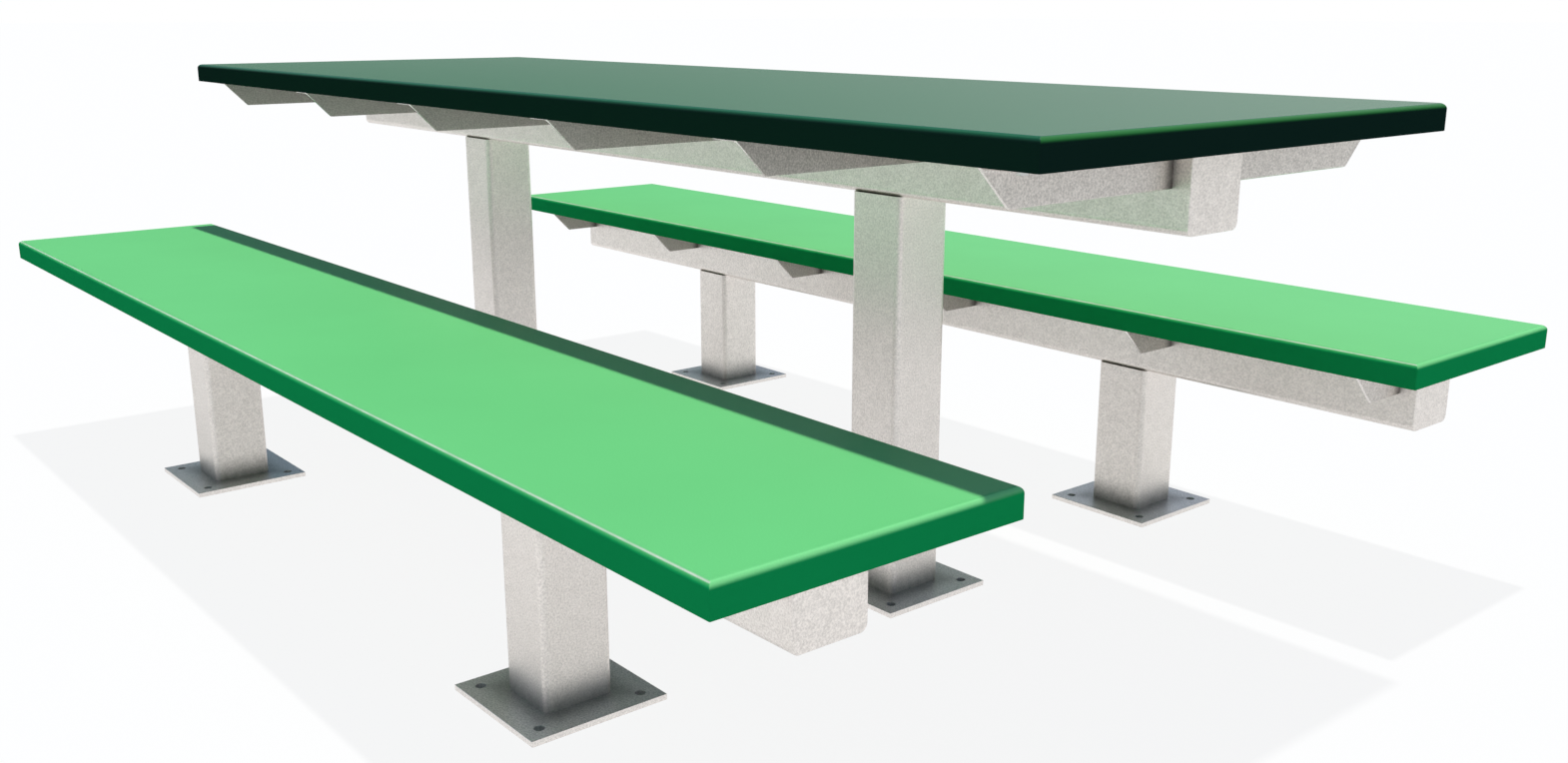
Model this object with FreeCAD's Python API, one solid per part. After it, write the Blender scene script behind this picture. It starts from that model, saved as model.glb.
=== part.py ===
import FreeCAD, Part
import math
import os

# A picnic table and a free-standing bench along each of its sides.
# Each of the three has a plastic board bolted to a welded and galvanised steel frame.
# Millimetres: X runs along the boards, Y across them and Z up, from the floor under the table's centre.

# Boards
table_length = 2400.0
table_width = 800.0
table_height = 750.0
bench_length = 2400.0
bench_width = 400.0
seat_height = 400.0
bench_spacing = 1200.0  # between the centre lines of the benches
board_thickness = 36.0
board_edge_radius = 8.0

# Beam, a square tube closed by a cap at each end
beam_side = 100.0
beam_wall = 5.0
beam_end_inset = 70.0  # from the board's end to the cap's outer face
cap_thickness = 5.0

# Posts and base plates
post_side = 100.0
post_wall = 5.0
post_spacing = 1200.0
plate_side = 200.0
plate_thickness = 8.0
anchor_edge_distance = 25.0  # from the plate's edges to the middle of an anchor hole
anchor_hole = 14.0
vent_hole = 25.0  # lets zinc and air out of the tubes when the frame is galvanised

# Arms, cut from steel angle: one leg lies under the board, the other hangs beside the beam
arm_count = 6
arm_leg = 50.0
arm_thickness = 4.0
arm_root_radius = 6.0
arm_toe_radius = 2.0
arm_tip_angle = 45.0
arm_corner_radius = 4.0
arm_tip_inset = 18.0  # from the board's long edge to the arm's tip
arm_row_inset = 75.0  # from the board's end to the middle of the last arm
notch_clearance = 0.3  # on each side of the beam

# Bolts, washers and threaded inserts that hold the boards down
bolt_diameter = 8.0
bolt_length = 25.0
bolt_head_across = 13.0
bolt_head_height = 5.3
bolt_tip_distance = 42.0  # from the arm's tip to the outer bolt
bolt_beam_distance = 80.0  # from the beam's side to the inner bolt of a table arm
washer_diameter = 16.0
washer_thickness = 1.6
insert_diameter = 12.0
insert_length = 20.0
hole_clearance = 0.5  # round a bolt, in the arm and in the washer
thread_clearance = 0.05  # round a bolt in its insert and round an insert in its board
pocket_clearance = 2.0  # above the insert and the bolt, in the board

x_axis = FreeCAD.Vector(1, 0, 0)
y_axis = FreeCAD.Vector(0, 1, 0)
z_axis = FreeCAD.Vector(0, 0, 1)
origin = FreeCAD.Vector(0, 0, 0)


def rounded_outline(corners):
    # A closed wire through (point, radius) corners, with a tangent arc at each radius over zero
    starts, ends, arcs = [], [], []
    for index, (point, radius) in enumerate(corners):
        to_last = (corners[index - 1][0] - point).normalize()
        to_next = (corners[(index + 1) % len(corners)][0] - point).normalize()
        half_angle = to_last.getAngle(to_next) / 2
        setback = radius / math.tan(half_angle)
        inward = (to_last + to_next).normalize()
        starts.append(point + to_last * setback)
        ends.append(point + to_next * setback)
        arcs.append(point + inward * (radius / math.sin(half_angle) - radius))
    edges = []
    for index, (point, radius) in enumerate(corners):
        if radius > 0:
            edges.append(Part.Arc(starts[index], arcs[index], ends[index]).toShape())
        edges.append(Part.makeLine(ends[index], starts[(index + 1) % len(corners)]))
    return Part.Wire(edges)


def rounded_bar(side, radius, length):
    # A square bar that stands on the origin, with its four long edges rounded
    half = side / 2
    points = [(half, half), (-half, half), (-half, -half), (half, -half)]
    outline = rounded_outline([(FreeCAD.Vector(x, y, 0), radius) for x, y in points])
    return Part.Face(outline).extrude(z_axis * length)


def square_tube(side, wall, length):
    # Cold-formed tube: the corners bend round an inner radius of one wall
    outside = rounded_bar(side, 2 * wall, length)
    inside = rounded_bar(side - 2 * wall, wall, length)
    return outside.cut(inside)


def laid_along_x(shape, start):
    turned = shape.copy()
    turned.rotate(origin, y_axis, 90)
    turned.translate(x_axis * start)
    return turned


def cylinder(diameter, height, centre):
    return Part.makeCylinder(diameter / 2, height, centre, z_axis)


def ring(diameter, bore, height, centre):
    return cylinder(diameter, height, centre).cut(cylinder(bore, height, centre))


def make_board(length, width, bottom, bolts):
    top = bottom + board_thickness
    board = Part.makeBox(length, width, board_thickness, FreeCAD.Vector(-length / 2, -width / 2, bottom))
    top_edges = [edge for edge in board.Edges if edge.BoundBox.ZMin > top - board_edge_radius]
    board = board.makeFillet(board_edge_radius, top_edges)
    bolt_reach = bolt_length - washer_thickness - arm_thickness
    pocket_depth = max(insert_length, bolt_reach) + pocket_clearance
    pocket_diameter = insert_diameter + 2 * thread_clearance
    pockets = [cylinder(pocket_diameter, pocket_depth, FreeCAD.Vector(x, y, bottom)) for x, y in bolts]
    return board.cut(Part.makeCompound(pockets))


def make_beam(length, bottom):
    beam = laid_along_x(square_tube(beam_side, beam_wall, length), -length / 2)
    beam.translate(z_axis * (bottom + beam_side / 2))
    vents = [cylinder(vent_hole, 2 * beam_wall, FreeCAD.Vector(x, 0, bottom - beam_wall)) for x in post_places()]
    return beam.cut(Part.makeCompound(vents))


def make_cap(start, bottom):
    cap = laid_along_x(rounded_bar(beam_side, 2 * beam_wall, cap_thickness), start)
    return cap.translated(z_axis * (bottom + beam_side / 2))


def make_arm(width, bolt_rows):
    # Heel on the YZ plane, top face at zero height and the lying leg towards -X
    root = min(arm_root_radius, arm_leg - 2 * arm_thickness)
    toe = min(arm_toe_radius, arm_thickness / 2)
    section = rounded_outline([
        (FreeCAD.Vector(0, -width, 0), 0),
        (FreeCAD.Vector(-arm_leg, -width, 0), 0),
        (FreeCAD.Vector(-arm_leg, -width, -arm_thickness), toe),
        (FreeCAD.Vector(-arm_thickness, -width, -arm_thickness), root),
        (FreeCAD.Vector(-arm_thickness, -width, -arm_leg), toe),
        (FreeCAD.Vector(0, -width, -arm_leg), 0),
    ])
    angle = Part.Face(section).extrude(y_axis * (2 * width))
    tip = width / 2 - arm_tip_inset
    foot = tip - arm_leg * math.tan(math.radians(arm_tip_angle))
    side_view = rounded_outline([
        (FreeCAD.Vector(-arm_leg, -tip, 0), 0),
        (FreeCAD.Vector(-arm_leg, -foot, -arm_leg), arm_corner_radius),
        (FreeCAD.Vector(-arm_leg, foot, -arm_leg), arm_corner_radius),
        (FreeCAD.Vector(-arm_leg, tip, 0), 0),
    ])
    arm = angle.common(Part.Face(side_view).extrude(x_axis * arm_leg))
    notch_width = beam_side + 2 * notch_clearance
    notch_corner = FreeCAD.Vector(-arm_leg, -notch_width / 2, -arm_leg)
    notch = Part.makeBox(arm_leg, notch_width, arm_leg - arm_thickness, notch_corner)
    hole_diameter = bolt_diameter + 2 * hole_clearance
    holes = [
        cylinder(hole_diameter, arm_thickness, FreeCAD.Vector(-bolt_gauge(), y, -arm_thickness))
        for y in bolt_rows
    ]
    return arm.cut(Part.makeCompound([notch] + holes))


def make_post(top):
    return square_tube(post_side, post_wall, top - plate_thickness).translated(z_axis * plate_thickness)


def make_plate():
    half = plate_side / 2
    plate = Part.makeBox(plate_side, plate_side, plate_thickness, FreeCAD.Vector(-half, -half, 0))
    reach = half - anchor_edge_distance
    holes = [cylinder(vent_hole, plate_thickness, origin)]
    for x in (-reach, reach):
        for y in (-reach, reach):
            holes.append(cylinder(anchor_hole, plate_thickness, FreeCAD.Vector(x, y, 0)))
    return plate.cut(Part.makeCompound(holes))


def make_bolt(head_top):
    corner_radius = bolt_head_across / math.sqrt(3)
    corners = []
    for side in range(6):
        angle = math.radians(60 * side)
        place = FreeCAD.Vector(corner_radius * math.cos(angle), corner_radius * math.sin(angle), 0)
        corners.append((place + z_axis * (head_top - bolt_head_height), 0))
    head = Part.Face(rounded_outline(corners)).extrude(z_axis * bolt_head_height)
    shank = cylinder(bolt_diameter, bolt_length, z_axis * head_top)
    return head.fuse(shank).removeSplitter()


def bolt_gauge():
    # From an arm's heel to the middle of its lying leg's flat
    return (arm_leg + arm_thickness) / 2


def post_places():
    return (-post_spacing / 2, post_spacing / 2)


def arm_heels(length):
    # (heel, direction of the lying leg): the last arm is turned round so that it stays on the beam
    pitch = (length - 2 * arm_row_inset) / (arm_count - 1)
    heels = []
    for index in range(arm_count):
        lying = 1 if index == arm_count - 1 else -1
        middle = arm_row_inset - length / 2 + index * pitch
        heels.append((middle - lying * arm_leg / 2, lying))
    return heels


def repeated(shape, places):
    return Part.makeCompound([shape.translated(FreeCAD.Vector(x, y, 0)) for x, y in places])


def make_unit(name, length, width, height, centre_y, inner_bolts):
    board_bottom = height - board_thickness
    beam_top = board_bottom - arm_thickness
    beam_bottom = beam_top - beam_side
    outer_row = width / 2 - arm_tip_inset - bolt_tip_distance
    inner_row = beam_side / 2 + bolt_beam_distance
    rows = (-outer_row, -inner_row, inner_row, outer_row) if inner_bolts else (-outer_row, outer_row)
    heels = arm_heels(length)
    bolts = [(heel + lying * bolt_gauge(), row) for heel, lying in heels for row in rows]

    pieces = {}
    pieces["board"] = make_board(length, width, board_bottom, bolts)
    cap_end = length / 2 - beam_end_inset
    tube_end = cap_end - cap_thickness
    pieces["beam"] = make_beam(2 * tube_end, beam_bottom)
    pieces["beam_cap_left"] = make_cap(-cap_end, beam_bottom)
    pieces["beam_cap_right"] = make_cap(tube_end, beam_bottom)
    for number, (heel, lying) in enumerate(heels, 1):
        arm = make_arm(width, rows)
        if lying > 0:
            arm = arm.mirror(origin, x_axis)
        pieces[f"arm_{number}"] = arm.translated(FreeCAD.Vector(heel, 0, board_bottom))
    for side, x in zip(("left", "right"), post_places()):
        pieces[f"post_{side}"] = make_post(beam_bottom).translated(x_axis * x)
        pieces[f"base_plate_{side}"] = make_plate().translated(x_axis * x)

    washer_bottom = beam_top - washer_thickness
    washer_bore = bolt_diameter + 2 * hole_clearance
    insert_bore = bolt_diameter + 2 * thread_clearance
    washer = ring(washer_diameter, washer_bore, washer_thickness, z_axis * washer_bottom)
    insert = ring(insert_diameter, insert_bore, insert_length, z_axis * board_bottom)
    pieces["board_bolts"] = repeated(make_bolt(washer_bottom), bolts)
    pieces["board_washers"] = repeated(washer, bolts)
    pieces["board_inserts"] = repeated(insert, bolts)

    for piece, shape in pieces.items():
        placed = shape.translated(y_axis * centre_y)
        placed.exportStep(f"parts/{name}_{piece}.step")
        print(f"{name}_{piece}", len(placed.Solids), "solids", round(placed.Volume / 1000), "cm3")


os.makedirs("parts", exist_ok=True)
make_unit("table", table_length, table_width, table_height, 0.0, True)
make_unit("front_bench", bench_length, bench_width, seat_height, -bench_spacing / 2, False)
make_unit("back_bench", bench_length, bench_width, seat_height, bench_spacing / 2, False)
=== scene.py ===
import math

import bmesh
import bpy
from mathutils import Matrix, Vector


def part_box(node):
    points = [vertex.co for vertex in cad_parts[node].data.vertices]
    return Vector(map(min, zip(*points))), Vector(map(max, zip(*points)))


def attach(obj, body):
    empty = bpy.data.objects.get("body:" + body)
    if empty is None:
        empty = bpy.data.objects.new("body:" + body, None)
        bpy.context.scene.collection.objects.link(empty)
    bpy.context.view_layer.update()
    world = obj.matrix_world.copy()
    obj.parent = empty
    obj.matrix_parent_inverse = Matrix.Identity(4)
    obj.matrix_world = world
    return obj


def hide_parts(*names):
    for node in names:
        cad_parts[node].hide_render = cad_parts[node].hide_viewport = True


# lengths are in metres, as in the CAD frame
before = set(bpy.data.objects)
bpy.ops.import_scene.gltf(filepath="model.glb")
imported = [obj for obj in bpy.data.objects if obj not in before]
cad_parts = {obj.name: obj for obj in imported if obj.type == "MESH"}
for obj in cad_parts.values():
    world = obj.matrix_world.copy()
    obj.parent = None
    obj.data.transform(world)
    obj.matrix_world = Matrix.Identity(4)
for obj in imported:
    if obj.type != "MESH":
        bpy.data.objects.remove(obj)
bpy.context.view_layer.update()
scene = bpy.context.scene
scene.view_settings.view_transform = "Standard"
units = ("table", "front_bench", "back_bench")
sides = ("left", "right")
print("frame:", len(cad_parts), "CAD nodes")


class Socket:  # a node's output that can be used in a sum
    def __init__(self, nodes, socket):
        self.nodes, self.socket = nodes, socket

    def out(self, name):  # another output of the same node
        return Socket(self.nodes, self.socket.node.outputs[name])

    def maths(self, operation, *values):
        return self.nodes.add("ShaderNodeMath", {"operation": operation}, dict(enumerate(values)))

    def __add__(self, other):
        return self.maths("ADD", self, other)

    def __radd__(self, other):
        return self.maths("ADD", other, self)

    def __sub__(self, other):
        return self.maths("SUBTRACT", self, other)

    def __rsub__(self, other):
        return self.maths("SUBTRACT", other, self)

    def __mul__(self, other):
        return self.maths("MULTIPLY", self, other)

    def __rmul__(self, other):
        return self.maths("MULTIPLY", other, self)

    def __truediv__(self, other):
        return self.maths("DIVIDE", self, other)

    def __rtruediv__(self, other):
        return self.maths("DIVIDE", other, self)


class Nodes:  # one node tree while it is wired
    def __init__(self, tree):
        self.tree = tree
        tree.nodes.clear()

    def add(self, kind, settings=None, sockets=None, out=0):
        node = self.tree.nodes.new(kind)
        for name, value in (settings or {}).items():
            if name == "stops":
                self.setStops(node.color_ramp, value)
            else:
                setattr(node, name, value)
        for key, value in (sockets or {}).items():
            self.feed(node.inputs[key], value)
        return Socket(self, node.outputs[out]) if len(node.outputs) else node

    def feed(self, socket, value):
        if isinstance(value, list):
            for part in value:
                self.feed(socket, part)
        elif isinstance(value, Socket):
            self.tree.links.new(value.socket, socket)
        else:
            socket.default_value = value

    def setStops(self, ramp, stops):
        while len(ramp.elements) < len(stops):
            ramp.elements.new(1.0)
        for element, (place, colour) in zip(ramp.elements, stops):
            element.position, element.color = place, (*colour, 1.0)


# small tools for the shaders
def newMaterial(name):
    material = bpy.data.materials.new(name)
    material.use_nodes = True
    return material, Nodes(material.node_tree)


def parted(n, vector):  # its X, Y and Z
    axes = n.add("ShaderNodeSeparateXYZ", None, {0: vector})
    return [axes.out(name) for name in "XYZ"]


def clamped(n, value):
    return n.add("ShaderNodeClamp", None, {0: value})


def rising(n, value, low, high):  # a soft step from nought to one
    return n.add("ShaderNodeMapRange", {"interpolation_type": "SMOOTHSTEP"},
                 {"Value": value, "From Min": low, "From Max": high})


def falling(n, value, low, high):
    return 1.0 - rising(n, value, low, high)


def noise(n, place, size, detail, roughness=0.55):
    return n.add("ShaderNodeTexNoise", None,
                 {"Vector": place, "Scale": 1 / size, "Detail": detail, "Roughness": roughness})


def blended(n, share, first, second):  # from the first colour to the second
    ends = [(*colour, 1.0) if isinstance(colour, tuple) else colour for colour in (first, second)]
    return n.add("ShaderNodeMix", {"data_type": "RGBA"}, {0: share, 6: ends[0], 7: ends[1]}, out=2)


def bumped(n, height, strength, depth):
    return n.add("ShaderNodeBump", None, {"Strength": strength, "Distance": depth, "Height": height})


# camera, at the photo's own angle
view = {"place": (2.11062, -1.47346, 0.86793), "heading": 140.3174, "tilt": -14.5081,
        "focalPixels": 1442.12, "imageWidth": 1570, "sensor": 36.0, "clip": (0.05, 500.0)}


def placeCamera():
    data = bpy.data.cameras.new("photoCamera")
    camera = bpy.data.objects.new("photoCamera", data)
    scene.collection.objects.link(camera)
    heading, tilt = math.radians(view["heading"]), math.radians(view["tilt"])
    forward = Vector((math.cos(tilt) * math.cos(heading), math.cos(tilt) * math.sin(heading), math.sin(tilt)))
    camera.location = view["place"]
    camera.rotation_euler = forward.to_track_quat("-Z", "Y").to_euler()
    data.sensor_fit, data.sensor_width = "HORIZONTAL", view["sensor"]
    data.lens = view["sensor"] * view["focalPixels"] / view["imageWidth"]
    data.clip_start, data.clip_end = view["clip"]
    scene.camera = camera


placeCamera()
print("camera: lens", round(scene.camera.data.lens, 2), "mm")

# light: a high soft sun, and a plain sky that is white to the camera, with a pale band where it is mirrored
sunLight = {"from": (-0.11, 0.172, 1.0), "onTop": 0.83, "angle": 1.6, "colour": (1.0, 0.985, 0.95)}
skyLight = {"stops": [(0.0, (1.0, 1.0, 1.0)), (0.505, (1.0, 1.0, 1.0)), (0.513, (0.07, 0.16, 0.11)),
                      (0.55, (0.13, 0.27, 0.20)), (0.60, (0.13, 0.20, 0.23)), (0.70, (0.11, 0.17, 0.30)),
                      (1.0, (0.13, 0.21, 0.35))],
            "glow": 1.0, "mirrorGlow": 0.08, "frontGlow": 0.36, "backGlow": 0.45,
            "bandGlow": 0.85, "bandFoot": (0.12, 0.17), "bandHead": (0.21, 0.28), "bandSide": (0.40, 0.85)}


def addSun():
    data = bpy.data.lights.new("highSun", "SUN")
    data.energy = sunLight["onTop"] * math.pi
    data.angle = math.radians(sunLight["angle"])
    data.color = sunLight["colour"]
    lamp = bpy.data.objects.new("highSun", data)
    lamp.rotation_euler = (-Vector(sunLight["from"])).to_track_quat("-Z", "Y").to_euler()
    scene.collection.objects.link(lamp)


def rayKinds(n):  # whether a ray comes straight from the camera, and whether it was mirrored or let through
    seen = n.add("ShaderNodeLightPath", out="Is Camera Ray")
    return seen, clamped(n, seen.out("Is Glossy Ray") + seen.out("Is Transmission Ray"))


def whiteShare(look, seen, mirrored):  # how white the backdrop is to this ray
    return seen * look["glow"] + mirrored * look["mirrorGlow"]


def addSky():
    look = skyLight
    world = bpy.data.worlds.new("plainSky")
    world.use_nodes = True
    scene.world = world
    n = Nodes(world.node_tree)
    across, height = parted(n, n.add("ShaderNodeTexCoord", out="Generated"))[1:]  # each from -1 to 1
    front, back = (clamped(n, across * way) for way in (-1.0, 1.0))
    band = rising(n, height, *look["bandFoot"]) * falling(n, height, *look["bandHead"])
    band = band * rising(n, across, *look["bandSide"])
    bright = front * look["frontGlow"] + back * back * back * look["backGlow"] + band * look["bandGlow"]
    sky = n.add("ShaderNodeValToRGB", {"stops": look["stops"]}, {0: height * 0.5 + 0.5})
    seen, mirrored = rayKinds(n)
    share = whiteShare(look, seen, mirrored) + mirrored * bright
    colour = blended(n, share, sky, (1.0, 1.0, 1.0))
    background = n.add("ShaderNodeBackground", None, {"Color": colour, "Strength": 1.0})
    n.add("ShaderNodeOutputWorld", None, {"Surface": background})


# floor: pale and plain, with matt ground under the base plates, so that their holes look into shade
floorLook = {"size": 200.0, "drop": 0.0004, "grey": 0.34, "pale": 0.95, "glow": 0.9, "mirrorGlow": 0.78,
             "under": 0.80, "underEdge": 0.05}


def rectangle(low, high, height):  # its corners, anticlockwise from above
    return [(low[0], low[1], height), (high[0], low[1], height),
            (high[0], high[1], height), (low[0], high[1], height)]


def flatSheet(name, rectangles, material):
    mesh = bpy.data.meshes.new(name)
    faces = [tuple(range(4 * k, 4 * k + 4)) for k in range(len(rectangles))]
    mesh.from_pydata([corner for corners in rectangles for corner in corners], [], faces)
    mesh.materials.append(material)
    sheet = bpy.data.objects.new(name, mesh)
    scene.collection.objects.link(sheet)
    return sheet


def makeFloor():
    look, half = floorLook, floorLook["size"] / 2
    material, n = newMaterial("paleFloor")
    seen, mirrored = rayKinds(n)
    colour = blended(n, clamped(n, seen + mirrored), (look["grey"],) * 3, (look["pale"],) * 3)
    matt = n.add("ShaderNodeBsdfDiffuse", None, {"Color": colour})
    glow = n.add("ShaderNodeEmission", None, {"Color": (1.0, 1.0, 1.0, 1.0), "Strength": 1.0})
    surface = n.add("ShaderNodeMixShader", None, {0: whiteShare(look, seen, mirrored), 1: matt, 2: glow})
    n.add("ShaderNodeOutputMaterial", None, {"Surface": surface})
    floor = flatSheet("paleFloor", [rectangle((-half, -half), (half, half), -look["drop"])], material)


def makeUnderside():
    look, patches = floorLook, []
    for unit in units:
        for side in sides:
            low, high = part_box(f"{unit}_base_plate_{side}")
            edge = (high.x - low.x) * look["underEdge"]
            patches.append(rectangle((low.x + edge, low.y + edge), (high.x - edge, high.y - edge),
                                     -look["drop"] / 2))
    material, n = newMaterial("coveredGround")
    matt = n.add("ShaderNodeBsdfDiffuse", None, {"Color": (look["under"],) * 3 + (1.0,)})
    n.add("ShaderNodeOutputMaterial", None, {"Surface": matt})
    ground = flatSheet("coveredGround", patches, material)


addSun()
addSky()
makeFloor()
makeUnderside()
print("light: sun, sky and floor")

# galvanised steel: tubes, arms, the turned-round arm, plates, cut edges and the walls of holes
tubeZinc = {"dark": (0.74, 0.694, 0.656), "bright": (1.0, 0.938, 0.886), "roughness": 0.46}
# painted shade: the arms are darker than the tube, the turned-round end arm less so
shadedAngleZinc = {"dark": (0.42, 0.396, 0.374), "bright": (0.69, 0.653, 0.617), "roughness": 0.50}
lessShadedEndAngleZinc = {"dark": (0.54, 0.508, 0.481), "bright": (0.84, 0.790, 0.748), "roughness": 0.48}
plateZinc = {"dark": (0.58, 0.570, 0.570), "bright": (0.95, 0.924, 0.908), "roughness": 0.43}
shearedZinc = {"dark": (0.80, 0.752, 0.720), "bright": (1.0, 0.945, 0.905), "roughness": 0.24}
# painted shade: the walls of the holes are darker than the plate
shadedHoleZinc = {"dark": (0.46, 0.453, 0.446), "bright": (0.72, 0.71, 0.70), "roughness": 0.62}
zincSurface = {"grainSize": 0.0026, "grainDetail": 3.0, "grainRoughness": 0.7, "grain": 3.4,
               "cloudSize": 0.10, "cloudDetail": 3.0, "cloud": 0.12,
               "spangleSize": 0.009, "spangle": 0.10, "spangleGloss": 0.4,
               "roughSpread": 0.12, "bump": 0.08, "bumpDepth": 0.0003}
# painted shade: a dark colour laid into the steel round the foot of each post and where an arm meets the beam
paintedSeamShade = {"colour": (0.13, 0.125, 0.12), "share": 0.54, "clear": 0.008, "rise": 0.048, "spread": 0.040,
             "armShare": 0.95, "armSpread": 0.024,
             "patchSize": 0.012, "patchDetail": 2.0, "patchSpread": 0.6, "patchLeast": 0.7}


def closeMaterial(n, sockets):
    shader = n.add("ShaderNodeBsdfPrincipled", None, sockets)
    n.add("ShaderNodeOutputMaterial", None, {"Surface": shader})


def seamShadeShare(n, place, atFoot):  # share of painted shade round the foot of a post, or where an arm meets the beam
    shadeLook = paintedSeamShade
    low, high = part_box("back_bench_post_right")  # its place gives the spacing of the posts and units
    middle, half = (low + high) / 2, (high.x - low.x) / 2
    x, y, z = parted(n, place)
    patch = noise(n, place, shadeLook["patchSize"], shadeLook["patchDetail"])
    patch = patch * shadeLook["patchSpread"] + shadeLook["patchLeast"]
    across = y.maths("PINGPONG", y, middle.y / 2)  # folded, so that it starts anew at each unit's middle
    if atFoot:
        along = x.maths("PINGPONG", x - middle.x, middle.x)  # and at each post
        near = falling(n, x.maths("MAXIMUM", along, across), half, half + shadeLook["spread"])
        near = near * falling(n, z, shadeLook["clear"], shadeLook["clear"] + shadeLook["rise"])
        near = near * rising(n, z, 0.0, shadeLook["clear"])
        return clamped(n, near * patch * shadeLook["share"])
    near = falling(n, across, half, half + shadeLook["armSpread"])
    return clamped(n, near * patch * shadeLook["armShare"])


def galvanisedSteel(name, look, atFoot=True):
    surface = zincSurface
    material, n = newMaterial(name)
    place = n.add("ShaderNodeTexCoord", out="Object")
    grain = noise(n, place, surface["grainSize"], surface["grainDetail"], surface["grainRoughness"]) - 0.5
    cloud = noise(n, place, surface["cloudSize"], surface["cloudDetail"]) - 0.5
    cell = n.add("ShaderNodeTexVoronoi", {"feature": "F1"},
                 {"Vector": place, "Scale": 1 / surface["spangleSize"]}, out="Color")
    spangle = n.add("ShaderNodeSeparateColor", None, {0: cell}) - 0.5
    tone = grain * surface["grain"] + cloud * surface["cloud"] + spangle * surface["spangle"] + 0.5
    rough = look["roughness"] - (grain + spangle * surface["spangleGloss"]) * surface["roughSpread"]
    colour = blended(n, tone, look["dark"], look["bright"])
    # painted shade at the foot of the posts and where the arms meet the beam
    colour = blended(n, seamShadeShare(n, place, atFoot), colour, paintedSeamShade["colour"])
    bump = bumped(n, grain, surface["bump"], surface["bumpDepth"])
    closeMaterial(n, {"Base Color": colour, "Metallic": 1.0, "Roughness": rough, "Normal": bump})
    return material


tubeSteel = galvanisedSteel("galvanisedTube", tubeZinc)
# the two arm finishes carry painted shade, the end arm's less
shadedAngleSteel = galvanisedSteel("galvanisedAngleShaded", shadedAngleZinc, atFoot=False)
lessShadedEndAngleSteel = galvanisedSteel("galvanisedEndAngleLessShaded", lessShadedEndAngleZinc, atFoot=False)
plateSteel = galvanisedSteel("galvanisedPlate", plateZinc)
shearedSteel = galvanisedSteel("shearedEdge", shearedZinc)
shadedHoleSteel = galvanisedSteel("drilledHoleShaded", shadedHoleZinc)

# plastic of the boards; From, To and Flat are depths under the upper face. The upper face's paler colour is
# painted sheen, and the rim and end bands are painted highlights
# face is lighter than edge: painted sheen on the upper face
tablePlastic = {"face": (0.008, 0.165, 0.066), "edge": (0.013, 0.041, 0.028), "rub": (0.034, 0.190, 0.085),
                "endHighlight": (0.040, 0.260, 0.055), "coat": 0.76, "coatRoughness": 0.12, "faceFrom": 0.0060}
benchPlastic = {"face": (0.185, 0.720, 0.240), "edge": (0.013, 0.620, 0.160), "rub": (0.960, 1.000, 0.820),
                "endHighlight": (0.310, 0.980, 0.360), "coat": 0.30, "coatRoughness": 0.24, "faceFrom": 0.0056}
# the rim-line and end-band depths here place painted highlights on the rims
plasticSurface = {"faceTo": 0.0005, "endHighlightFrom": 0.0078, "endTo": 0.0030, "endHighlightFlat": 0.0012, "mitre": 0.0008,
                  "highlightFrom": 0.0026, "rubTo": 0.0004, "highlightPatchSize": 0.05, "highlightPatchDetail": 3.0, "highlightPatchGain": 1.6,
                  "flowSize": 0.30, "flowDetail": 3.0, "flow": 0.10,
                  "fleckSize": 0.0016, "fleckDetail": 1.0, "fleck": 0.10,
                  "peelSize": 0.006, "peelDetail": 1.5, "peel": 0.04, "peelDepth": 0.0003,
                  "roughness": 0.5, "roughSpread": 0.10, "specular": 0.0}


def boardPlastic(name, look, node):  # glossy on the upper face, satin on the cut edges
    surface = plasticSurface
    low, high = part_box(node)
    half, top, centre = (high - low) / 2, high.z, abs(low.y + high.y) / 2
    material, n = newMaterial(name)
    place = n.add("ShaderNodeTexCoord", out="Object")
    x, y, z = parted(n, place)

    def between(start, end):  # a soft step from one depth to another
        return rising(n, z, top - start, top - end)

    along, across = x.maths("ABSOLUTE", x), y.maths("ABSOLUTE", y)
    across = y.maths("ABSOLUTE", across - centre)
    mitre = half.x - half.y
    atEnd = rising(n, along - across, mitre - surface["mitre"], mitre + surface["mitre"])
    glossAndPaintedSheen = between(look["faceFrom"], surface["faceTo"])
    # painted highlight: a lighter band on the end roundings
    endHighlightBand = between(surface["endHighlightFrom"], surface["endTo"]) * atEnd
    endHighlightBand = endHighlightBand * (1.0 - between(surface["endHighlightFlat"], 0.0))
    middle = (surface["highlightFrom"] + surface["rubTo"]) / 2
    rimHighlightBand = between(surface["highlightFrom"], middle) - between(middle, surface["rubTo"])
    flow = noise(n, place, surface["flowSize"], surface["flowDetail"]) - 0.5
    fleck = noise(n, place, surface["fleckSize"], surface["fleckDetail"]) - 0.5
    peel = noise(n, place, surface["peelSize"], surface["peelDetail"])
    highlightPatches = clamped(n, noise(n, place, surface["highlightPatchSize"], surface["highlightPatchDetail"]) * surface["highlightPatchGain"])
    # painted sheen: the upper face paler than the cut edges; the same mask also sets the real gloss
    colour = blended(n, glossAndPaintedSheen, look["edge"], look["face"])
    # the end roundings take the painted highlight colour
    colour = blended(n, endHighlightBand, colour, look["endHighlight"])
    # painted highlight: a thin pale line along the long rims, broken into patches
    colour = blended(n, rimHighlightBand * highlightPatches * (1.0 - atEnd), colour, look["rub"])
    tone = flow * surface["flow"] + fleck * surface["fleck"] + 1.0
    colour = n.add("ShaderNodeVectorMath", {"operation": "SCALE"}, {0: colour, "Scale": tone})
    rough = surface["roughness"] + (flow + fleck) * surface["roughSpread"]
    bump = bumped(n, peel, surface["peel"], surface["peelDepth"])
    closeMaterial(n, {"Base Color": colour, "Roughness": rough, "Specular IOR Level": surface["specular"],
                      "Coat Weight": glossAndPaintedSheen * look["coat"], "Coat Roughness": look["coatRoughness"],
                      "Normal": bump})
    return material


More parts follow.
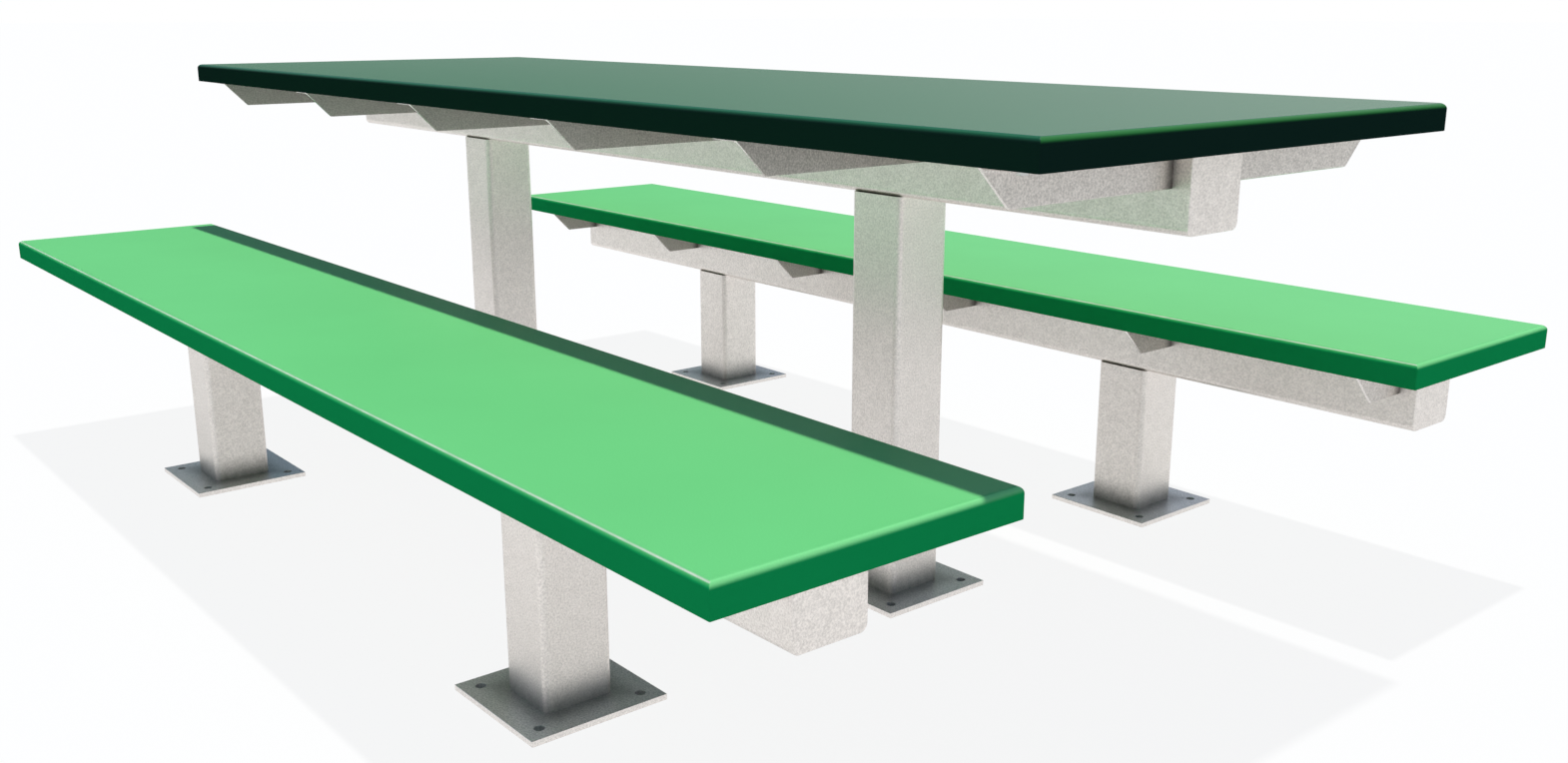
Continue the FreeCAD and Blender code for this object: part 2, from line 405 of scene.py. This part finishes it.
boardFinish = {"table": boardPlastic("tableGreen", tablePlastic, "table_board"),
               "bench": boardPlastic("benchGreen", benchPlastic, "front_bench_board")}

# zinc plate of the bolts and washers, and brass of the inserts
zincLook = {"dark": (0.50, 0.50, 0.49), "bright": (0.80, 0.80, 0.78), "grainSize": 0.0012, "roughness": 0.34}
brassLook = {"dark": (0.55, 0.37, 0.13), "bright": (0.80, 0.59, 0.27), "grainSize": 0.0010, "roughness": 0.36}
turnedSurface = {"grainDetail": 3.0, "roughSpread": 0.2, "bump": 0.1, "bumpDepth": 0.0002}


def turnedMetal(name, look):
    surface = turnedSurface
    material, n = newMaterial(name)
    place = n.add("ShaderNodeTexCoord", out="Object")
    grain = noise(n, place, look["grainSize"], surface["grainDetail"])
    colour = blended(n, grain, look["dark"], look["bright"])
    rough = look["roughness"] + (grain - 0.5) * surface["roughSpread"]
    bump = bumped(n, grain, surface["bump"], surface["bumpDepth"])
    closeMaterial(n, {"Base Color": colour, "Metallic": 1.0, "Roughness": rough, "Normal": bump})
    return material


zinc = turnedMetal("zincPlate", zincLook)
brass = turnedMetal("turnedBrass", brassLook)
print("finishes: galvanised steel, two greens, zinc and brass")

# small tools for the meshes
meshRules = {"smoothAngle": math.radians(50), "flatWeight": 80, "easeSteps": 2, "mergeDistance": 0.00001}


def pieceName(node):
    first, *rest = node.split("_")
    return first + "".join(word.capitalize() for word in rest)


def baked(thing):  # the object's mesh with its modifiers worked in
    depsgraph = bpy.context.evaluated_depsgraph_get()
    mesh = bpy.data.meshes.new_from_object(thing.evaluated_get(depsgraph), preserve_all_data_layers=True,
                                           depsgraph=depsgraph)
    thing.modifiers.clear()
    thing.data = mesh
    return mesh


def shaded(mesh):  # flat faces stay flat and roundings run smoothly into them
    thing = bpy.data.objects.new("shading", mesh)
    scene.collection.objects.link(thing)
    mesh.shade_smooth()
    mesh.set_sharp_from_angle(angle=meshRules["smoothAngle"])
    weighted = thing.modifiers.new("flatFaces", "WEIGHTED_NORMAL")
    weighted.mode, weighted.weight, weighted.keep_sharp = "FACE_AREA", meshRules["flatWeight"], True
    made = baked(thing)
    bpy.data.objects.remove(thing)
    return made


def worked(mesh, cutter=None, bevel=None, tree=None, sizes=None):  # a mesh after its tree, cuts and easing
    thing = bpy.data.objects.new("work", mesh)
    scene.collection.objects.link(thing)
    if tree:
        nodes = thing.modifiers.new("shape", "NODES")
        nodes.node_group = tree
        for item in tree.interface.items_tree:
            if item.in_out == "INPUT" and item.name in (sizes or {}):
                nodes[item.identifier] = sizes[item.name]
    if cutter:
        tool = bpy.data.objects.new("cutter", cutter)
        scene.collection.objects.link(tool)
        cut = thing.modifiers.new("cut", "BOOLEAN")
        cut.operation, cut.solver, cut.object = "DIFFERENCE", "EXACT", tool
    if bevel:
        ease = thing.modifiers.new("easedEdges", "BEVEL")
        ease.limit_method, ease.angle_limit = "ANGLE", meshRules["smoothAngle"]
        ease.width, ease.segments = bevel, meshRules["easeSteps"]
    made = baked(thing)
    if cutter:
        bpy.data.objects.remove(tool)
    bpy.data.objects.remove(thing)
    return shaded(made)


def addPiece(node, mesh, material=None):
    piece = bpy.data.objects.new(pieceName(node), mesh)
    mesh.name = piece.name
    if material:
        mesh.materials.clear()
        mesh.materials.append(material)
    scene.collection.objects.link(piece)
    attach(piece, "root")
    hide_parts(node)


def paint(mesh, finishes, choice):  # the choice gives the number of a face's finish
    mesh.materials.clear()
    for finish in finishes:
        mesh.materials.append(finish)
    for face in mesh.polygons:
        face.material_index = choice(face)


def loftedMesh(name, loops):  # closed skin through loops that run from the bottom to the top
    mesh = bpy.data.meshes.new(name)
    count = len(loops[0])
    faces = [tuple(reversed(range(count)))]
    for level in range(len(loops) - 1):
        low, high = level * count, (level + 1) * count
        for k in range(count):
            following = (k + 1) % count
            faces.append((low + k, low + following, high + following, high + k))
    faces.append(tuple(range((len(loops) - 1) * count, len(loops) * count)))
    mesh.from_pydata([point for loop in loops for point in loop], [], faces)
    return mesh


def joinedMesh(name, parts):  # several closed shapes in one mesh
    made = bmesh.new()
    for part in parts:
        made.from_mesh(part)
    mesh = bpy.data.meshes.new(name)
    made.to_mesh(mesh)
    made.free()
    return mesh


def rodMesh(radius, bottom, top, centre, steps):
    turns = [2 * math.pi * k / steps for k in range(steps)]
    around = [(centre[0] + radius * math.cos(turn), centre[1] + radius * math.sin(turn)) for turn in turns]
    return loftedMesh("rod", [[(x, y, height) for x, y in around] for height in (bottom, top)])


def roundedLoop(lengths, radius, steps, inset, height):  # a rectangle with rounded corners, seen from above
    loop = []
    for quarter, (sx, sy) in enumerate([(1, 1), (-1, 1), (-1, -1), (1, -1)]):
        for step in range(steps + 1):
            turn = math.pi / 2 * (quarter + step / steps)
            x = sx * (lengths[0] / 2 - inset - radius) + radius * math.cos(turn)
            y = sy * (lengths[1] / 2 - inset - radius) + radius * math.sin(turn)
            loop.append((x, y, height))
    return loop


def slabLoops(lengths, look):  # slab with a rounded upper rim, from its lower edge upwards
    plan, thick, rim = lengths[:2], lengths[2], look["rim"]
    levels = [(0.0, look["lowEase"])]
    if look["lowEase"]:
        levels.insert(0, (look["lowEase"], 0.0))
    for step in range(look["rimSteps"] + 1):
        turn = math.pi / 2 * step / look["rimSteps"]
        levels.append((rim * (1 - math.cos(turn)), thick - rim + rim * math.sin(turn)))
    return [roundedLoop(plan, look["corner"], look["cornerSteps"], inset, height) for inset, height in levels]


# sizes of the arms and fasteners, which also say where the boards are drilled
armLook = {"count": 6, "leg": 0.050, "thick": 0.004, "root": 0.006, "toe": 0.002, "steps": 4,
           "foot": 0.004, "footShares": (0.07, 0.15, 0.3), "gauge": 0.027, "notchGap": 0.0003,
           "holeRadius": 0.0045, "holeSteps": 20, "ease": 0.0005, "cutAcross": 0.5, "cutDown": 0.3}
fastenerLook = {"tipDistance": 0.042, "beamDistance": 0.080, "headSides": 6, "across": 0.013,
                "headHeight": 0.0053, "shank": 0.008, "length": 0.025, "boltEase": 0.0005,
                "washer": 0.016, "washerBore": 0.009, "washerEase": 0.0002,
                "insert": 0.012, "insertBore": 0.0081, "steps": 28}


def boltPlaces(unit):  # two or four bolts to an arm, set off its tips and the beam
    beamLow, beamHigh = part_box(f"{unit}_beam")
    centre = (beamLow.y + beamHigh.y) / 2
    places = []
    for number in range(1, armLook["count"] + 1):
        low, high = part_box(f"{unit}_arm_{number}")
        x = low.x + armLook["gauge"] if number == armLook["count"] else high.x - armLook["gauge"]
        rows = [high.y - centre - fastenerLook["tipDistance"]]
        if unit == "table":
            rows.append(beamHigh.y - centre + fastenerLook["beamDistance"])
        places += [(x, centre + way * row) for row in rows for way in (-1, 1)]
    return places


# boards: one slab each, rounded along the upper edges only
boardLook = {"rim": 0.008, "rimSteps": 10, "corner": 0.0012, "cornerSteps": 3, "lowEase": 0.0004,
             "pocketRadius": 0.00605, "pocketDepth": 0.022, "pocketSteps": 20}


def makeBoard(unit):
    look, node = boardLook, f"{unit}_board"
    low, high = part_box(node)
    slab = loftedMesh(node, slabLoops(high - low, look))
    slab.transform(Matrix.Translation(((low.x + high.x) / 2, (low.y + high.y) / 2, low.z)))
    span = (low.z - look["pocketDepth"], low.z + look["pocketDepth"])
    pockets = [rodMesh(look["pocketRadius"], *span, place, look["pocketSteps"]) for place in boltPlaces(unit)]
    mesh = worked(slab, cutter=joinedMesh("pockets", pockets))
    kind = "table" if unit == "table" else "bench"
    addPiece(node, mesh, boardFinish[kind])


for unit in units:
    makeBoard(unit)
print("boards: 3")


# small tools for the geometry trees
def shapeTree(name, sizes):  # an empty tree with a named input for each size
    tree = bpy.data.node_groups.new(name, "GeometryNodeTree")
    tree.interface.new_socket("Geometry", in_out="OUTPUT", socket_type="NodeSocketGeometry")
    tree.interface.new_socket("Geometry", in_out="INPUT", socket_type="NodeSocketGeometry")
    for size in sizes:
        tree.interface.new_socket(size, in_out="INPUT", socket_type="NodeSocketFloat")
    n = Nodes(tree)
    return tree, n, n.add("NodeGroupInput", out="Geometry")


def squareCurve(n, side):
    return n.add("GeometryNodeCurvePrimitiveQuadrilateral", {"mode": "RECTANGLE"},
                 {"Width": side, "Height": side})


def circleCurve(n, steps, diameter):
    return n.add("GeometryNodeCurvePrimitiveCircle", {"mode": "RADIUS"},
                 {"Resolution": steps, "Radius": diameter / 2.0})


def raisedFace(n, outlines, height):  # fills the outlines and draws them up into a closed block
    joined = n.add("GeometryNodeJoinGeometry", None, {0: outlines})
    face = n.add("GeometryNodeFillCurve", {"mode": "NGONS"}, {"Curve": joined})
    rise = n.add("ShaderNodeCombineXYZ", None, {"Z": height})
    walls = n.add("GeometryNodeExtrudeMesh", {"mode": "FACES"},
                  {"Mesh": face, "Offset": rise, "Individual": False})
    under = n.add("GeometryNodeFlipFaces", None, {"Mesh": face})
    block = n.add("GeometryNodeJoinGeometry", None, {0: [walls, under]})
    return n.add("GeometryNodeMergeByDistance", None,
                 {"Geometry": block, "Distance": meshRules["mergeDistance"]})


def placedAt(n, shape, rise):
    lift = n.add("ShaderNodeCombineXYZ", None, {"Z": rise})
    return n.add("GeometryNodeTransform", None, {"Geometry": shape, "Translation": lift})


def setOut(n, points, shape):
    return n.add("GeometryNodeInstanceOnPoints", None, {"Points": points, "Instance": shape})


def endTree(n, shape, material):
    solid = n.add("GeometryNodeRealizeInstances", None, {"Geometry": shape})
    painted = n.add("GeometryNodeSetMaterial", None, {"Geometry": solid, "Material": material})
    n.add("NodeGroupOutput", None, {0: painted})


# beams and posts: square tube with bent corners, by one tree
tubeLook = {"wall": 0.005, "corner": 0.010, "steps": 10}


def bentSquare(n, side, radius):
    return n.add("GeometryNodeFilletCurve", {"mode": "POLY"},
                 {"Curve": squareCurve(n, side), "Count": tubeLook["steps"], "Radius": radius})


def tubeTree():
    tree, n, start = shapeTree("squareTube", ("Side", "Wall", "Corner", "Length"))
    side, wall, corner = start.out("Side"), start.out("Wall"), start.out("Corner")
    outlines = [bentSquare(n, side, corner), bentSquare(n, side - wall * 2.0, corner - wall)]
    endTree(n, raisedFace(n, outlines, start.out("Length")), tubeSteel)
    return tree


squareTube = tubeTree()
standing = Matrix.Identity(4)
lying = Matrix.Rotation(math.pi / 2, 4, "Y")


def makeTube(node, turn):
    low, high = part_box(node)
    size = high - low
    length = size.x if turn is lying else size.z
    sizes = {"Side": size.y, "Wall": tubeLook["wall"], "Corner": tubeLook["corner"], "Length": length}
    mesh = worked(bpy.data.meshes.new(node), tree=squareTube, sizes=sizes)
    mesh.transform(Matrix.Translation((low + high) / 2) @ turn @ Matrix.Translation((0, 0, -length / 2)))
    addPiece(node, mesh)


for unit in units:
    makeTube(f"{unit}_beam", lying)
    for side in sides:
        makeTube(f"{unit}_post_{side}", standing)
print("tubes: 3 beams and 6 posts")

# caps: flat plates welded on and dressed flush with the beam
capLook = {"corner": 0.010, "cornerSteps": 10, "rim": 0.0012, "rimSteps": 4, "lowEase": 0.0}


def makeCap(unit, side):
    node = f"{unit}_beam_cap_{side}"
    low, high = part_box(node)
    size = high - low
    plate = loftedMesh(node, slabLoops((size.z, size.y, size.x), capLook))
    outward = 1 if side == "right" else -1
    inner = Vector((low.x if outward > 0 else high.x, (low.y + high.y) / 2, (low.z + high.z) / 2))
    plate.transform(Matrix.Translation(inner) @ Matrix.Rotation(outward * math.pi / 2, 4, "Y"))
    addPiece(node, shaded(plate), tubeSteel)


for unit in units:
    for side in sides:
        makeCap(unit, side)
print("caps: 6")


# arms: steel angle with slanted ends, notched over the beam
def angleProfile():  # (from the heel along the lying leg, down from the top)
    look = armLook
    leg, thick, root, toe, steps = (look[k] for k in ("leg", "thick", "root", "toe", "steps"))
    points = [(0.0, 0.0), (leg, 0.0)]

    def arc(u, w, radius, start, end):
        for step in range(steps + 1):
            turn = math.radians(start + (end - start) * step / steps)
            points.append((u + radius * math.cos(turn), w + radius * math.sin(turn)))

    arc(leg - toe, thick - toe, toe, 0, 90)
    arc(thick + root, thick + root, root, 270, 180)
    arc(thick - toe, leg - toe, toe, 0, 90)
    points.append((0.0, leg))
    points += [(0.0, leg - look["foot"] * share) for share in look["footShares"]]
    return points


def armMesh(reach, beamSide, rows, lyingWay):  # heel on the YZ plane, top at zero height
    look = armLook
    leg, thick, foot = look["leg"], look["thick"], look["foot"]
    slant = math.radians(45)  # so an end draws in as far as it drops
    roundFrom = reach - leg - foot / math.tan((math.pi - slant) / 2)

    def tip(w):  # the slanted end, rounded where it meets the lower edge
        drop = w - (leg - foot)
        if drop <= foot * math.sin(slant):
            return reach - w
        return roundFrom + math.sqrt(max(foot ** 2 - drop ** 2, 0.0))

    loops = [[(lyingWay * u, end * tip(w), -w) for u, w in angleProfile()] for end in (-1, 1)]
    if lyingWay < 0:
        loops.reverse()
    bar = loftedMesh("arm", loops)
    gap, past = beamSide / 2 + look["notchGap"], leg * 2  # the cutter runs out past the angle
    notch = loftedMesh("notch", [rectangle((-past, -gap), (past, gap), height) for height in (-past, -thick)])
    places = [(lyingWay * look["gauge"], row) for row in rows]
    holes = [rodMesh(look["holeRadius"], -thick * 2, thick, place, look["holeSteps"]) for place in places]
    return worked(bar, cutter=joinedMesh("cuts", [notch, *holes]), bevel=look["ease"])


def armFinish(face):  # the cut ends look outwards and down
    return int(abs(face.normal.y) > armLook["cutAcross"] and face.normal.z < -armLook["cutDown"])


def makeArms(unit):
    beamLow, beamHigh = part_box(f"{unit}_beam")
    centre = (beamLow.y + beamHigh.y) / 2
    rows = sorted({round(y - centre, 5) for x, y in boltPlaces(unit)})  # the same on every arm
    made = {}
    for number in range(1, armLook["count"] + 1):
        node = f"{unit}_arm_{number}"
        low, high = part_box(node)
        way = 1 if number == armLook["count"] else -1  # the last arm is turned round
        if way not in made:
            made[way] = armMesh((high.y - low.y) / 2, beamHigh.y - beamLow.y, rows, way)
            # the arms under the board get the finish with more painted shade, the turned-round last arm the
            # one with less
            paint(made[way], (lessShadedEndAngleSteel if way > 0 else shadedAngleSteel, shearedSteel), armFinish)
        mesh = made[way].copy()
        mesh.transform(Matrix.Translation((low.x if way > 0 else high.x, centre, high.z)))
        addPiece(node, mesh)


for unit in units:
    makeArms(unit)
print("arms:", armLook["count"] * len(units))

# base plates, drilled for four anchors, with a vent hole under the post
plateLook = {"pitch": 0.150, "hole": 0.014, "vent": 0.025, "ease": 0.0007, "steps": 28, "flat": 0.8}


def plateTree():
    tree, n, start = shapeTree("drilledPlate", ("Side", "Thickness", "Pitch", "Hole", "Vent"))
    hole, vent = (circleCurve(n, plateLook["steps"], start.out(size)) for size in ("Hole", "Vent"))
    corners = n.add("GeometryNodeMeshGrid", None, {"Size X": start.out("Pitch"), "Size Y": start.out("Pitch"),
                                                   "Vertices X": 2, "Vertices Y": 2})
    holes = n.add("GeometryNodeRealizeInstances", None, {"Geometry": setOut(n, corners, hole)})
    outlines = [squareCurve(n, start.out("Side")), holes, vent]
    endTree(n, raisedFace(n, outlines, start.out("Thickness")), plateSteel)
    return tree


drilledPlate = plateTree()


def makePlate(unit, side):
    look, node = plateLook, f"{unit}_base_plate_{side}"
    low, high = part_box(node)
    size = high - low
    sizes = {"Side": size.x, "Thickness": size.z, "Pitch": look["pitch"], "Hole": look["hole"],
             "Vent": look["vent"]}
    mesh = worked(bpy.data.meshes.new(node), tree=drilledPlate, sizes=sizes, bevel=look["ease"])
    inside = size.x / 2 - look["ease"] * 2

    def plateFinish(face):  # a flat side, a sheared edge or the wall of a hole
        drilled = max(abs(face.center.x), abs(face.center.y)) < inside
        return 0 if abs(face.normal.z) > look["flat"] else 2 if drilled else 1

    # the walls of the holes get the finish with painted shade
    paint(mesh, (plateSteel, shearedSteel, shadedHoleSteel), plateFinish)
    mesh.transform(Matrix.Translation(((low.x + high.x) / 2, (low.y + high.y) / 2, low.z)))
    addPiece(node, mesh)


for unit in units:
    for side in sides:
        makePlate(unit, side)
print("base plates: 6")


# bolts, washers and inserts, set out on points by two kinds of tree
def boltTree():  # a hexagon head and a shank that starts half way through it, made one skin
    tree, n, start = shapeTree("boardBolts", ("Across", "Head Height", "Shank", "Length"))
    tall = start.out("Head Height")
    corners = start.out("Across") * (2 / math.sqrt(3.0))  # from corner to corner
    head = raisedFace(n, [circleCurve(n, fastenerLook["headSides"], corners)], tall)
    shankCurve = circleCurve(n, fastenerLook["steps"], start.out("Shank"))
    shank = raisedFace(n, [shankCurve], start.out("Length") + tall / 2.0)
    bolt = n.add("GeometryNodeMeshBoolean", {"operation": "UNION", "solver": "EXACT"},
                 {"Mesh 2": [placedAt(n, head, tall * -1.0), placedAt(n, shank, tall * -0.5)]})
    endTree(n, setOut(n, start, bolt), zinc)
    return tree


def ringTree(name, material):
    tree, n, start = shapeTree(name, ("Outside", "Bore", "Height"))
    circles = [circleCurve(n, fastenerLook["steps"], start.out(size)) for size in ("Outside", "Bore")]
    endTree(n, setOut(n, start, raisedFace(n, circles, start.out("Height"))), material)
    return tree


boardBolts = boltTree()
boardWashers = ringTree("boardWashers", zinc)
boardInserts = ringTree("boardInserts", brass)


def pointMesh(name, places, height):
    mesh = bpy.data.meshes.new(name)
    mesh.from_pydata([(x, y, height) for x, y in places], [], [])
    return mesh


def makeFasteners(unit):
    look, places = fastenerLook, boltPlaces(unit)
    washerLow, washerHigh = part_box(f"{unit}_board_washers")
    boltSizes = {"Across": look["across"], "Head Height": look["headHeight"], "Shank": look["shank"],
                 "Length": look["length"]}
    bolts = worked(pointMesh("bolts", places, washerLow.z), tree=boardBolts, sizes=boltSizes,
                   bevel=look["boltEase"])
    addPiece(f"{unit}_board_bolts", bolts)
    washerSizes = {"Outside": look["washer"], "Bore": look["washerBore"],
                   "Height": washerHigh.z - washerLow.z}
    washers = worked(pointMesh("washers", places, washerLow.z), tree=boardWashers, sizes=washerSizes,
                     bevel=look["washerEase"])
    addPiece(f"{unit}_board_washers", washers)
    insertLow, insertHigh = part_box(f"{unit}_board_inserts")
    insertSizes = {"Outside": look["insert"], "Bore": look["insertBore"],
                   "Height": insertHigh.z - insertLow.z}
    inserts = worked(pointMesh("inserts", places, insertLow.z), tree=boardInserts, sizes=insertSizes)
    addPiece(f"{unit}_board_inserts", inserts)


for unit in units:
    makeFasteners(unit)
print("fasteners: bolts, washers and inserts of", len(units), "boards")
